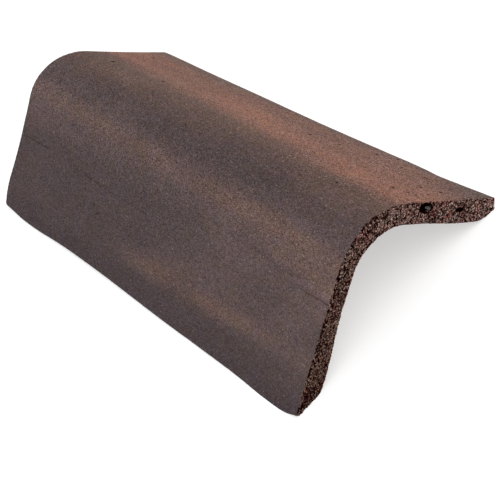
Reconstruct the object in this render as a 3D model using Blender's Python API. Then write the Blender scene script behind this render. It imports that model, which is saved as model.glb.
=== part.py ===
"""Concrete verge tile: a long angle with a rounded bend, standing on the lower edges of its two legs.

Lengths are in metres and +Z is up. The tile runs along Y with its coarse cut end at -Y. The longer
side leg goes down towards -X and the top leg towards +X. The blank is one cross-section drawn out
along the length, and cutters then shape the two long edges, the far end and the voids in the cut
end.
"""

import math

import bmesh
import bpy
from mathutils import Matrix, Vector

MM = 0.001

# Whole tile
TILE_LENGTH = 420 * MM
ANGLE_BETWEEN_LEGS = math.radians(96.1)
BEND_RADIUS = 50.5 * MM
BEND_THICKNESS = 16.0 * MM

# Side leg, measured down its outer face from where the bend ends to the floor. A leg is at full
# thickness again this far back from its reach.
SIDE_LEG_REACH = 106.9 * MM
SIDE_ROOT_THICKNESS = 14.5 * MM
SIDE_LEG_THIN = 14.0 * MM
SIDE_LEG_THIN_AT = 26 * MM
SIDE_LEG_THICK = 17.3 * MM
SIDE_LEG_THICK_BACK = 29.9 * MM

# Top leg, measured the same way to the upper corner of its blunt edge; the edge's face leans
# outwards on its way down to the floor
TOP_LEG_REACH = 88.2 * MM
TOP_EDGE_FACE = 9.0 * MM
TOP_EDGE_LEAN = math.radians(15)
TOP_ROOT_THICKNESS = 15.4 * MM
TOP_LEG_THICK = 17.3 * MM
TOP_LEG_THICK_BACK = 30.2 * MM
TOP_LEG_EVEN_TO = 14 * MM

# Rounding between each foot and the inner face
SIDE_FOOT_ROUNDING = 6 * MM
TOP_FOOT_ROUNDING = 24 * MM

# How far each long edge stops short of its leg's reach, at shares of the tile's length
SIDE_EDGE_LINE = (
    (0.0, 3.9 * MM),
    (0.024, 1.3 * MM),
    (0.065, 0.3 * MM),
    (0.155, 2.1 * MM),
    (0.38, 3.2 * MM),
    (0.715, 5.3 * MM),
    (0.905, 3.2 * MM),
    (1.0, 5.7 * MM),
)
TOP_EDGE_LINE = (
    (0.0, -0.6 * MM),
    (0.048, 1.5 * MM),
    (0.119, 4.9 * MM),
    (0.155, 3.6 * MM),
    (0.24, 2.8 * MM),
    (0.38, 3.5 * MM),
    (0.67, -0.1 * MM),
    (0.86, -3.0 * MM),
    (1.0, -5.6 * MM),
)

# How far the far end runs past the tile's length, at shares of the width from the side leg's foot
FAR_END_LINE = (
    (0.0, 0.5 * MM),
    (0.075, 4.0 * MM),
    (0.16, 1.8 * MM),
    (0.22, 0.4 * MM),
    (0.365, -0.3 * MM),
    (0.6, -2.0 * MM),
    (0.8, 0.1 * MM),
    (0.87, 2.0 * MM),
    (1.0, 7.2 * MM),
)

# Voids left by the aggregate in the coarse end of the top leg: place along the leg, depth of the
# centre below the outer face, then width, height and how far it goes in
VOIDS = (
    (18.5 * MM, 3.0 * MM, 12.0 * MM, 7.4 * MM, 6.0 * MM),
    (54.0 * MM, 7.2 * MM, 8.5 * MM, 2.6 * MM, 4.0 * MM),
)

# Fineness of the round stretches
BEND_STEPS = 16
PROFILE_STEPS = 6
CORNER_STEPS = 4
EDGE_CURVE_STEPS = 6

# How far the cutters stand clear of what they cut
CUTTER_MARGIN = 30 * MM

# Edges sharper than this stay crisp in the shading
CRISP_EDGE_ANGLE = math.radians(20)

CONCRETE_COLOUR = (0.105, 0.066, 0.06, 1.0)
CONCRETE_ROUGHNESS = 0.9

SIDE = -1
TOP = 1


def clear_scene():
    for item in list(bpy.data.objects):
        bpy.data.objects.remove(item, do_unlink=True)


def new_collection(name):
    collection = bpy.data.collections.new(name)
    bpy.context.scene.collection.children.link(collection)
    return collection


def concrete():
    material = bpy.data.materials.new("concrete")
    material.use_nodes = True
    shader = material.node_tree.nodes["Principled BSDF"]
    shader.inputs["Base Color"].default_value = CONCRETE_COLOUR
    shader.inputs["Roughness"].default_value = CONCRETE_ROUGHNESS
    shader.inputs["Metallic"].default_value = 0.0
    return material


def section_point(leg, slope, along, depth):
    """Point (x, z) from the bend's centre, `along` down a leg and `depth` below its outer face."""
    reach = BEND_RADIUS - depth
    x = leg * (reach * math.sin(slope) + along * math.cos(slope))
    z = reach * math.cos(slope) - along * math.sin(slope)
    return Vector((x, z))


def leg_slopes():
    """Slopes of the side and top legs when both feet stand on one floor."""
    half_turn = (math.pi - ANGLE_BETWEEN_LEGS) / 2
    side_foot = section_point(SIDE, half_turn, SIDE_LEG_REACH, 0)
    top_reach = TOP_LEG_REACH + TOP_EDGE_FACE * math.tan(TOP_EDGE_LEAN)
    top_foot = section_point(TOP, half_turn, top_reach, TOP_EDGE_FACE)
    across = top_foot - side_foot
    lean = math.atan2(across.y, across.x)
    return half_turn - lean, half_turn + lean


SIDE_SLOPE, TOP_SLOPE = leg_slopes()
BEND_HEIGHT = -section_point(SIDE, SIDE_SLOPE, SIDE_LEG_REACH, 0).y


def leg_slope(leg):
    return SIDE_SLOPE if leg == SIDE else TOP_SLOPE


def standing_point(leg, along, depth):
    """Section point (x, z) with the floor at z = 0."""
    return section_point(leg, leg_slope(leg), along, depth) + Vector((0, BEND_HEIGHT))


def floor_crossing(leg, depth):
    """Where a line at this depth below the leg's outer face meets the floor."""
    slope = leg_slope(leg)
    start = standing_point(leg, 0, depth)
    return standing_point(leg, start.y / math.sin(slope), depth)


def eased(start, end, share):
    """Value part of the way between two, leaving the one and reaching the other gently."""
    return start + (end - start) * share * share * (3 - 2 * share)


def thickness_run(leg, start_at, start, end_at, end):
    """Inner-face points of a leg whose thickness changes smoothly between two places."""
    points = []
    for step in range(PROFILE_STEPS + 1):
        share = step / PROFILE_STEPS
        along = start_at + (end_at - start_at) * share
        points.append(standing_point(leg, along, eased(start, end, share)))
    return points


def rounded(before, corner, after, radius):
    """Points of the arc that rounds a corner of the outline."""
    to_before = (before - corner).normalized()
    to_after = (after - corner).normalized()
    half_angle = to_before.angle(to_after) / 2
    setback = radius / math.tan(half_angle)
    centre = corner + (to_before + to_after).normalized() * (radius / math.sin(half_angle))
    first = (corner + to_before * setback - centre).normalized()
    last = (corner + to_after * setback - centre).normalized()
    turns = [first.slerp(last, step / CORNER_STEPS) for step in range(CORNER_STEPS + 1)]
    return [centre + turn * radius for turn in turns]


def inner_leg(leg, thickness, lead_in, foot_rounding):
    """Inner face of one leg from the bend down to the start of its foot."""
    inner_foot = floor_crossing(leg, thickness)
    return lead_in + rounded(lead_in[-1], inner_foot, floor_crossing(leg, 0), foot_rounding)


def bend_arc(first_angle, first_depth, last_angle, last_depth):
    """Points strictly between two places of the bend, at angles from straight up."""
    points = []
    for step in range(1, BEND_STEPS):
        share = step / BEND_STEPS
        angle = first_angle + (last_angle - first_angle) * share
        reach = BEND_RADIUS - eased(first_depth, last_depth, share)
        points.append(Vector((reach * math.sin(angle), BEND_HEIGHT + reach * math.cos(angle))))
    return points


def tile_section():
    """Closed outline of the blank, from the side leg's outer corner over the bend and back inside."""
    outer = [floor_crossing(SIDE, 0), standing_point(SIDE, 0, 0)]
    outer += bend_arc(-SIDE_SLOPE, 0, TOP_SLOPE, 0)
    outer += [standing_point(TOP, 0, 0), floor_crossing(TOP, 0)]

    top_thick_at = TOP_LEG_REACH - TOP_LEG_THICK_BACK
    top_run = [standing_point(TOP, 0, TOP_ROOT_THICKNESS)]
    top_run += thickness_run(
        TOP, TOP_LEG_EVEN_TO, TOP_ROOT_THICKNESS, top_thick_at, TOP_LEG_THICK
    )
    top_inner = inner_leg(TOP, TOP_LEG_THICK, top_run, TOP_FOOT_ROUNDING)

    side_thick_at = SIDE_LEG_REACH - SIDE_LEG_THICK_BACK
    side_run = thickness_run(SIDE, 0, SIDE_ROOT_THICKNESS, SIDE_LEG_THIN_AT, SIDE_LEG_THIN)
    side_run += thickness_run(
        SIDE, SIDE_LEG_THIN_AT, SIDE_LEG_THIN, side_thick_at, SIDE_LEG_THICK
    )[1:]
    side_inner = inner_leg(SIDE, SIDE_LEG_THICK, side_run, SIDE_FOOT_ROUNDING)

    inner_bend = bend_arc(TOP_SLOPE, TOP_ROOT_THICKNESS, 0, BEND_THICKNESS)
    inner_bend.append(Vector((0, BEND_HEIGHT + BEND_RADIUS - BEND_THICKNESS)))
    inner_bend += bend_arc(0, BEND_THICKNESS, -SIDE_SLOPE, SIDE_ROOT_THICKNESS)
    return outer + top_inner[::-1] + inner_bend + side_inner


def prism(name, add_spline, half_depth, placement):
    """Mesh object of a flat closed outline, drawn out to both sides of its plane."""
    outline = bpy.data.curves.new(name + "_outline", "CURVE")
    outline.dimensions = "2D"
    outline.fill_mode = "BOTH"
    outline.extrude = half_depth
    outline.resolution_u = EDGE_CURVE_STEPS
    add_spline(outline)
    curve_object = bpy.data.objects.new(name + "_curve", outline)
    bpy.context.scene.collection.objects.link(curve_object)
    curve_object.matrix_world = placement
    bpy.context.view_layer.update()
    evaluated = curve_object.evaluated_get(bpy.context.evaluated_depsgraph_get())
    mesh = bpy.data.meshes.new_from_object(evaluated)
    bpy.data.objects.remove(curve_object, do_unlink=True)

    shell = bmesh.new()
    shell.from_mesh(mesh)
    bmesh.ops.remove_doubles(shell, verts=shell.verts, dist=0.00001)
    bmesh.ops.recalc_face_normals(shell, faces=shell.faces)
    shell.to_mesh(mesh)
    shell.free()
    mesh.name = name
    mesh.shade_smooth()
    mesh.set_sharp_from_angle(angle=CRISP_EDGE_ANGLE)
    solid = bpy.data.objects.new(name, mesh)
    solid.matrix_world = placement
    return solid


def straight_outline(points):
    """Closed outline with straight sides through all the points."""

    def add_to(curve):
        spline = curve.splines.new("POLY")
        spline.points.add(len(points) - 1)
        for target, point in zip(spline.points, points):
            target.co = (point[0], point[1], 0, 1)
        spline.use_cyclic_u = True

    return add_to


def edge_outline(smooth_points, square_points):
    """Closed outline with one smooth edge through the first points and square corners behind it."""

    def add_to(curve):
        spline = curve.splines.new("BEZIER")
        spline.bezier_points.add(len(smooth_points) + len(square_points) - 1)
        for target, point in zip(spline.bezier_points, smooth_points + square_points):
            target.co = (point[0], point[1], 0)
        for target in spline.bezier_points:
            target.handle_left_type = "AUTO"
            target.handle_right_type = "AUTO"
        for target in spline.bezier_points[len(smooth_points):]:
            target.handle_left_type = "VECTOR"
            target.handle_right_type = "VECTOR"
        spline.bezier_points[0].handle_left_type = "VECTOR"
        spline.bezier_points[len(smooth_points) - 1].handle_right_type = "VECTOR"
        spline.use_cyclic_u = True

    return add_to


def plane_placement(origin, across, upward):
    """Matrix that puts an outline's X along `across`, its Y along `upward` and its centre at origin."""
    depth = across.cross(upward)
    placement = Matrix((across, upward, depth)).transposed().to_4x4()
    placement.translation = origin
    return placement


def make_blank(collection, material):
    """The tile's cross-section drawn out past its full length, standing on the floor."""
    length = TILE_LENGTH + 2 * CUTTER_MARGIN
    placement = plane_placement(
        Vector((0, length / 2 - TILE_LENGTH / 2, 0)), Vector((1, 0, 0)), Vector((0, 0, 1))
    )
    blank = prism("verge_tile", straight_outline(tile_section()), length / 2, placement)
    blank.data.materials.clear()
    blank.data.materials.append(material)
    collection.objects.link(blank)
    return blank


def make_edge_cutter(name, leg, reach, lean, edge_line, collection):
    """Cutter that takes the long edge of a leg back to its real line, leaving a leaning edge face."""
    slope = leg_slope(leg) - lean
    corner = standing_point(leg, reach, 0)
    down_leg = Vector((leg * math.cos(slope), 0, -math.sin(slope)))
    origin = Vector((corner.x, -TILE_LENGTH / 2, corner.y))
    placement = plane_placement(origin, Vector((0, 1, 0)), down_leg)
    edge = [(share * TILE_LENGTH, -short) for share, short in edge_line]
    first = (-CUTTER_MARGIN, edge[0][1])
    last = (TILE_LENGTH + 2 * CUTTER_MARGIN, edge[-1][1])
    corners = [last, (last[0], CUTTER_MARGIN), (first[0], CUTTER_MARGIN), first]
    cutter = prism(name, edge_outline(edge, corners), CUTTER_MARGIN, placement)
    collection.objects.link(cutter)
    return cutter


def make_far_end_cutter(collection):
    """Cutter that takes the far end back to its slightly skew line, seen from above."""
    side_x = floor_crossing(SIDE, 0).x
    top_x = floor_crossing(TOP, 0).x
    width = top_x - side_x
    placement = plane_placement(
        Vector((side_x, TILE_LENGTH / 2, BEND_HEIGHT)), Vector((1, 0, 0)), Vector((0, 1, 0))
    )
    edge = [(share * width, past) for share, past in FAR_END_LINE]
    behind = 3 * CUTTER_MARGIN
    corners = [
        (width + CUTTER_MARGIN, edge[-1][1]),
        (width + CUTTER_MARGIN, behind),
        (-CUTTER_MARGIN, behind),
        (-CUTTER_MARGIN, edge[0][1]),
    ]
    height = BEND_HEIGHT + BEND_RADIUS + CUTTER_MARGIN
    cutter = prism("far_end_cutter", edge_outline(edge, corners), height, placement)
    collection.objects.link(cutter)
    return cutter


def make_void_cutter(name, along, depth, width, height, inward, collection):
    """Squashed ball set into the coarse end of the top leg."""
    ball = bmesh.new()
    bmesh.ops.create_icosphere(ball, subdivisions=2, radius=1)
    bmesh.ops.scale(ball, vec=Vector((width / 2, inward, height / 2)), verts=ball.verts)
    bmesh.ops.rotate(ball, matrix=Matrix.Rotation(TOP_SLOPE, 3, "Y"), verts=ball.verts)
    mesh = bpy.data.meshes.new(name)
    ball.to_mesh(mesh)
    ball.free()
    cutter = bpy.data.objects.new(name, mesh)
    place = standing_point(TOP, along, depth)
    cutter.location = (place.x, -TILE_LENGTH / 2, place.y)
    collection.objects.link(cutter)
    return cutter


def cut(target, cutter):
    cutter.hide_render = True
    cutter.display_type = "WIRE"
    modifier = target.modifiers.new(cutter.name, "BOOLEAN")
    modifier.operation = "DIFFERENCE"
    modifier.solver = "EXACT"
    modifier.object = cutter


def centre_over_floor(root, tile):
    """Moves the whole assembly so that the origin is under the middle of the finished tile."""
    bpy.context.view_layer.update()
    evaluated = tile.evaluated_get(bpy.context.evaluated_depsgraph_get())
    corners = [tile.matrix_world @ Vector(corner) for corner in evaluated.bound_box]
    middle_x = (min(corner.x for corner in corners) + max(corner.x for corner in corners)) / 2
    middle_y = (min(corner.y for corner in corners) + max(corner.y for corner in corners)) / 2
    root.location = (-middle_x, -middle_y, 0)


def build():
    clear_scene()
    parts = new_collection("Verge tile")
    cutters = new_collection("Verge tile cutters")
    tile = make_blank(parts, concrete())
    tools = [
        make_edge_cutter("side_edge_cutter", SIDE, SIDE_LEG_REACH, 0, SIDE_EDGE_LINE, cutters),
        make_edge_cutter(
            "top_edge_cutter", TOP, TOP_LEG_REACH, TOP_EDGE_LEAN, TOP_EDGE_LINE, cutters
        ),
        make_far_end_cutter(cutters),
    ]
    for number, (along, depth, width, height, inward) in enumerate(VOIDS, start=1):
        name = f"void_cutter_{number}"
        tools.append(make_void_cutter(name, along, depth, width, height, inward, cutters))
    for tool in tools:
        cut(tile, tool)

    root = bpy.data.objects.new("tile_origin", None)
    parts.objects.link(root)
    for item in [tile] + tools:
        item.parent = root
    centre_over_floor(root, tile)


build()
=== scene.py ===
"""Concrete verge tile: its streaked skin, coarse cut ends and plain studio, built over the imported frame."""

import math
from typing import NamedTuple

import bpy
import numpy as np
from bpy.props import FloatProperty, FloatVectorProperty, PointerProperty
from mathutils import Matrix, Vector, noise


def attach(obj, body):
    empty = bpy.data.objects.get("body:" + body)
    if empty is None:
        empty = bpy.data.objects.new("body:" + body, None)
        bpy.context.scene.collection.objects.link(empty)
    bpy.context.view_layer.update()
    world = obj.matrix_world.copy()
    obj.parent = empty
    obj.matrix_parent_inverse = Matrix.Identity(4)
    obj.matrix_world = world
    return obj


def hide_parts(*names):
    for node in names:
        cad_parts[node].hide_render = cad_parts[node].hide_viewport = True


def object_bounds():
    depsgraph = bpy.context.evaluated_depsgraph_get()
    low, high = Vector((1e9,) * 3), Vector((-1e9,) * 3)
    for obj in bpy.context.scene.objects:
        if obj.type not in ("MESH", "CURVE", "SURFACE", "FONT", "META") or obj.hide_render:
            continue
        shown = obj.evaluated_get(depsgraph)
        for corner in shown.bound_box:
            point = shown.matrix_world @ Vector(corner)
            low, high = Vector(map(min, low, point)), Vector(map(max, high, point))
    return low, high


bl_info = {
    "name": "Concrete Verge Tile",
    "version": (1, 0, 0),
    "blender": (4, 5, 0),
    "location": "View3D > Sidebar > Verge Tile",
    "description": "Models a concrete verge tile with a streaked skin and coarse cut ends",
    "category": "Object",
}

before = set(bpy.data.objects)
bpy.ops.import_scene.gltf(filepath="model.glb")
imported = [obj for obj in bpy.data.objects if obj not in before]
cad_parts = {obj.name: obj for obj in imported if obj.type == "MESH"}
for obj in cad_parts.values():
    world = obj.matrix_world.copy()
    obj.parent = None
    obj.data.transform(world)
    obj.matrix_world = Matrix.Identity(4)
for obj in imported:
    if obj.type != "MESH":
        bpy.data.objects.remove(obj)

TILE_NODE = "verge_tile"
CAD_LOW, CAD_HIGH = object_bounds()
NEAR_END = CAD_LOW.y
LENGTH = CAD_HIGH.y - CAD_LOW.y
MM = 0.001

# What the finished mesh carries for its materials
# The second of these holds dirt and painted shade in the skin's scratches and pits; the third holds painted
# shade in the recesses of the cut ends, the voids, the stone and the chips
COAT, DIRT_AND_SHADE, RECESS_SHADE, PEBBLE, UNROLLED = "coat", "dirt_and_shade", "recess_shade", "pebble", "unrolled"
SKIN_SLOT, CUT_SLOT = 0, 1
RGB = {"size": 3, "min": 0.0, "max": 1.0}

# Mesh
MERGE_DISTANCE = 1e-6
GRID_DEPTH = 8
WEIGHT_STEPS = 20
NEAR_CUTS, FAR_CUTS, PIT_CUTS = 5, 3, 5
PIT_MARGIN = 1.5 * MM
SMOOTH_ANGLE = math.radians(38)

# Which faces are a cut end: how squarely they look along the tile, and how far in from its end they lie
END_FACING = 0.6
NEAR_REACH, FAR_REACH = 2 * MM, 15 * MM
NEAR_FLATNESS = 0.05 * MM

# Where the solid is softened: fades round the skin from the crown, or from an end
BEND_FADE = 40 * MM, 50 * MM
NEAR_KEPT, FAR_KEPT = 1 * MM, 12 * MM
CORNER_FADE = 6 * MM, 9 * MM
BEND_PASSES, EDGE_PASSES, CORNER_PASSES = 12, 1, 3
SWELL_MIDDLE = -9 * MM
SWELL_FADE_ACROSS, SWELL_FADE_ALONG = (10 * MM, 32 * MM), (12 * MM, 70 * MM)
SKIN_DEPTH = 3 * MM

# Voids and the stone
FILLER_MARGIN = 1.5 * MM
LUMP_SIZE = 2.6 * MM
VOID_LUMPS, STONE_LUMPS = 1.8 * MM, 1.0 * MM
STONE_SETBACK = 1.2 * MM
VOID_STARTS, VOID_ENDS = 0.02 * MM, 8 * MM
VOID_TOP, VOID_FOOT = 0.3 * MM, 12 * MM

# Relief of the skin and of the cut ends
WAVE_SIZE, SAND_SIZE, TEAR_SIZE, CHIP_SIZE = 32 * MM, 2.6 * MM, 4.2 * MM, 2.4 * MM
SKIN_RISE = 6 * MM
GRAIN_MIDDLE, TEAR_MIDDLE, WEAR_MIDDLE = 0.35, 0.45, 0.62
ENDS = (("near cut", 1.0), ("far cut", -1.0))
FAR_ARRIS_CALM, FAR_ARRIS_FADE = 0.7, (0.3 * MM, 1.5 * MM)
SIDE_WEAR_FADE = 25 * MM, 35 * MM
# The next values set painted shade, not relief: how much of the tears counts towards the painted shade of the
# cut ends, how uneven that shade is beside the outer arris, and how shaded the stone is painted
TEAR_SHADE_SHARE = 0.3
RAGGED_ACROSS, RAGGED_DEPTH, RAGGED_FADE, RAGGED_LUMPS = 10 * MM, 3.5 * MM, 1.5 * MM, 0.9 * MM
STONE_SHADE = 0.45
RAGGED_SCALE = 520

# Chips of the near arris
CHIP_SLOPE = 0.6
CHIP_RAMP = 5.0
CHIP_LIMIT = 5 * MM
# CHIP_TONE_SCALE sets the pattern of the painted shade in the chips
CHIP_SCALE, CHIP_TONE_SCALE = 420, 800

# Scratches and pits in the skin
SCORE_RAMP = 12
# The scratches and pits are painted darker the deeper they are: dirt and painted shade
SCORE_FULL_DIRT_AND_SHADE = 1.1 * MM
SLICE_REACH = 4 * MM
SLICE_FACING = 0.8
PIT_DIRT_AND_SHADE = 5.0
PIT_SCALE = 900
MARK_DEPTH = 2.5 * MM

# Pigment
WANDER = 1.5 * MM
BARE_BELOW = 2 * MM, 9 * MM
ON_TOP = 12 * MM, 45 * MM


class Void(NamedTuple):
    """A hole or stone in the near cut: metres round the skin from the crown, depth, size and reach inward."""

    across: float
    depth: float
    width: float
    height: float
    inward: float


class Score(NamedTuple):
    """A straight scratch in the skin, from one place to another: round the skin, then from the near end."""

    start_across: float
    start: float
    end_across: float
    end: float
    width: float
    depth: float


class Pit(NamedTuple):
    """A small pit in the skin: metres round the skin from the crown, metres from the near end."""

    across: float
    along: float
    radius: float
    depth: float


class Chip(NamedTuple):
    """A broken length of the near cut's outer arris: from and to round the skin, and how far it reaches."""

    start: float
    end: float
    reach: float


class Streak(NamedTuple):
    """A run of pigment along the skin, or of painted shade at the top leg's rim, in millimetres: its two
    edges, its strength and its ends.

    Each edge is given by its place round the skin from the crown at the near and the far end, and by how
    softly it fades. Bow is how far both edges swing out half way along. The run rises to its full strength
    over one length after its start, and falls over another before its finish.
    """

    colour: str
    low_near: float
    low_far: float
    low_fade: float
    high_near: float
    high_far: float
    high_fade: float
    bow: float
    strength: float
    start: float = -60
    finish: float = 520
    rise: float = 40
    fall: float = 90


def in_mm(kind, *lines):
    """Marks of one kind, from lines of sizes in millimetres."""
    return tuple(kind(*(size * MM for size in line)) for line in lines)


VOIDS = in_mm(Void, (57.3, 4.2, 14.2, 7.8, 7), (92, 7.2, 9.4, 3.4, 4.6))
STONE = in_mm(Void, (61.2, 5, 5, 2.4, 2.9))[0]
CUT_PITS = in_mm(
    Void,
    (-40.4, 2.6, 2.6, 2.2, 1.8), (-59.4, 4.4, 2.4, 2, 1.6), (-95.3, 2.5, 2.6, 1.8, 1.6),
    (-98.3, 5.5, 2.4, 2, 1.6), (-125.4, 5.5, 2.6, 2, 1.6), (-132, 3.3, 3.4, 2.4, 2),
    (101.1, 6.2, 2.2, 1.8, 1.5),
)
CHIPS = in_mm(
    Chip,
    (-19, -9, 1.1), (-8, 14, 2.4), (12, 20, 1.8), (20, 32, 1.1),
    (33, 52, 2.4), (50, 58, 1.6), (58, 66, 1.2),
)
SCORES = in_mm(
    Score,
    (-58.9, -8, -59.1, 33, 1.5, 0.5),
    (-59.1, 29, -59.5, 51, 0.8, 0.2),
    (-73, 80, -72.6, 122, 0.8, 0.2),
    (-72.4, 203, -71.2, 336, 0.8, 0.25),
    (-71.6, 283, -70.9, 306, 1.1, 0.4),
    (-67.7, 368, -69.1, 417, 2, 0.5),
    (-52, 306, -45, 322, 0.9, 0.25),
    (-100, 285, -91, 271, 0.9, 0.25),
)
PITS = in_mm(
    Pit,
    (43.6, 379, 2.4, 0.9), (52.5, 312, 1.7, 0.7), (100, 399, 1.8, 0.8), (107.5, 102, 1.7, 0.9),
    (104, 47, 1.6, 0.8), (85, 155, 1.7, 0.7), (54.6, 31, 1.5, 0.9), (80.4, 28.5, 1.2, 0.8),
    (87.5, 16.5, 1.5, 0.9), (92.8, 128.8, 1.2, 0.6), (117, 89, 1.3, 0.6), (58.6, 20.5, 1.1, 0.7),
    (61.5, 15.3, 1.1, 0.7), (71.8, 13.6, 1, 0.5), (21.8, 53, 1, 0.5), (-94, 277, 1.2, 0.4),
)
STREAKS = tuple(Streak(*line) for line in (
    ("tan", -72.9, -113.5, 19.3, -15.6, -64.7, 40, 10, 0.12, -60, 165, 40, 61),
    ("tan", -44.6, -46.8, 31.7, -22.6, 5.5, 40, -4.4, 0.125),
    ("tan", -120.4, -92.3, 26.5, -82.8, -60, 37.8, 10, 0.12, -35, 213, 41, 84),
    ("tan", -76.6, -188.5, 20.2, -45.4, -101.7, 4.1, -10, 0.14, -60, 58, 40, 55),
    ("tan", -56, -56, 16, -26, -26, 16, 0, 0.06, 290, 520, 110, 40),
    ("dusk", -170, -170, 5, -133.8, -126.4, 23, 8.4, 0.67),
    ("olive", 14.2, 15.7, 40, 108.4, 52.5, 13.7, -1.5, 0.79),
    ("brick", 29.6, 57.6, 27.5, 160, 170, 10, 9.8, 0.95),
    ("terracotta", 33.2, 61.5, 27.1, 49.2, 129.1, 27.5, -2.8, 0.27),
    ("olive", 102.6, 141.7, 27, 160, 170, 8, 10, 0.94, -60, 71, 40, 44),
    ("ochre", -38.5, -28.4, 20.4, -27.6, -23.7, 20.7, 2.7, 0.68),
    ("ochre", -101.5, -149.7, 20.8, -105.3, -110.3, 19, 5.3, 1, 29, 172, 12, 81),
    ("ochre", -108.8, -125.8, 16.1, -75.8, -132.8, 20.3, 2, 0.52, 136, 269, 44, 98),
    ("ochre", -55.3, -32.7, 10.6, -43, -59.5, 7.6, 7.7, 0.57, -60, 127, 10, 124),
    ("ochre", 1.5, -14.1, 40, 47.7, 46.9, 4.1, -8.5, 0.31, -60, 112, 20, 81),
    ("ochre", 34.6, 36.7, 39.9, 51.4, 133.9, 31.8, 10, 0.3, 155, 382, 13, 36),
    ("terracotta", 31.2, 7.4, 20.5, 81, 77.1, 40, 7.7, 0.3, -60, 162, 20, 115),
    ("terracotta", 15.4, 88.6, 31.9, 22, 152.7, 33.5, 4.5, 0.3, 119, 311, 79, 101),
    ("terracotta", 46, 46, 8, 64, 64, 8, 0, 0.12, -60, 48, 40, 36),
    ("slate", 20, 24, 12, 40, 46, 16, 0, 0.12, 190, 520, 100, 60),
    # The next run is painted shade on the rim beside the top leg's edge
    ("painted_rim_shade", 113, 113, 10, 160, 170, 10, 0, 0.55),
    ("slate", 116.5, 116.5, 3, 160, 170, 10, 0, 0.25),
    ("slate", 84.1, 157.4, 15, 160, 170, 10, 10, 0.42, -60, 50, 20, 59),
))


class VergeTileShape(bpy.types.PropertyGroup):
    """Sizes of the tile's section and of the relief on its surfaces."""

    bend_radius: FloatProperty(
        name="Bend Radius", description="Outer radius of the rounded bend",
        default=50.5 * MM, min=20 * MM, unit="LENGTH",
    )
    bend_centre_x: FloatProperty(
        name="Bend Centre Across", description="Where the bend's axis lies across the tile",
        default=5.279 * MM, unit="LENGTH",
    )
    bend_centre_z: FloatProperty(
        name="Bend Centre Height", description="Height of the bend's axis above the floor",
        default=31.616 * MM, unit="LENGTH",
    )
    side_slope: FloatProperty(
        name="Side Leg Slope", description="Slope of the side leg below the level",
        default=math.radians(40.797), subtype="ANGLE",
    )
    top_slope: FloatProperty(
        name="Top Leg Slope", description="Slope of the top leg below the level",
        default=math.radians(43.103), subtype="ANGLE",
    )
    grid_scale: FloatProperty(
        name="Grid Scale", description="Share of the remesh grid that the tile's length fills",
        default=0.60, min=0.3, max=0.99, subtype="FACTOR",
    )
    cut_rim: FloatProperty(
        name="Cut Rim", description="Width of the skin that is made finer beside a cut end",
        default=3.2 * MM, unit="LENGTH",
    )
    grain_size: FloatProperty(
        name="Grain Size", description="Size of the stone grains in the cut ends",
        default=1.2 * MM, unit="LENGTH",
    )
    grain_height: FloatProperty(
        name="Grain Height", description="How far the grains stand out of the cut ends",
        default=1.1 * MM, unit="LENGTH",
    )
    tear_height: FloatProperty(
        name="Tear Height", description="How uneven the cut ends are over several grains",
        default=1.1 * MM, unit="LENGTH",
    )
    arris_wear: FloatProperty(
        name="Arris Wear", description="How far the edges of the cut ends are chipped back",
        default=1.3 * MM, unit="LENGTH",
    )
    skin_wave: FloatProperty(
        name="Skin Wave", description="How far the skin waves over a few centimetres",
        default=0.35 * MM, unit="LENGTH",
    )
    skin_sand: FloatProperty(
        name="Skin Sand", description="Height of the sand that stands in the skin",
        default=0.12 * MM, unit="LENGTH",
    )
    far_swell: FloatProperty(
        name="Far Swell", description="How far the bend stands out at the far end of the tile",
        default=1.0 * MM, unit="LENGTH",
    )


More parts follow.
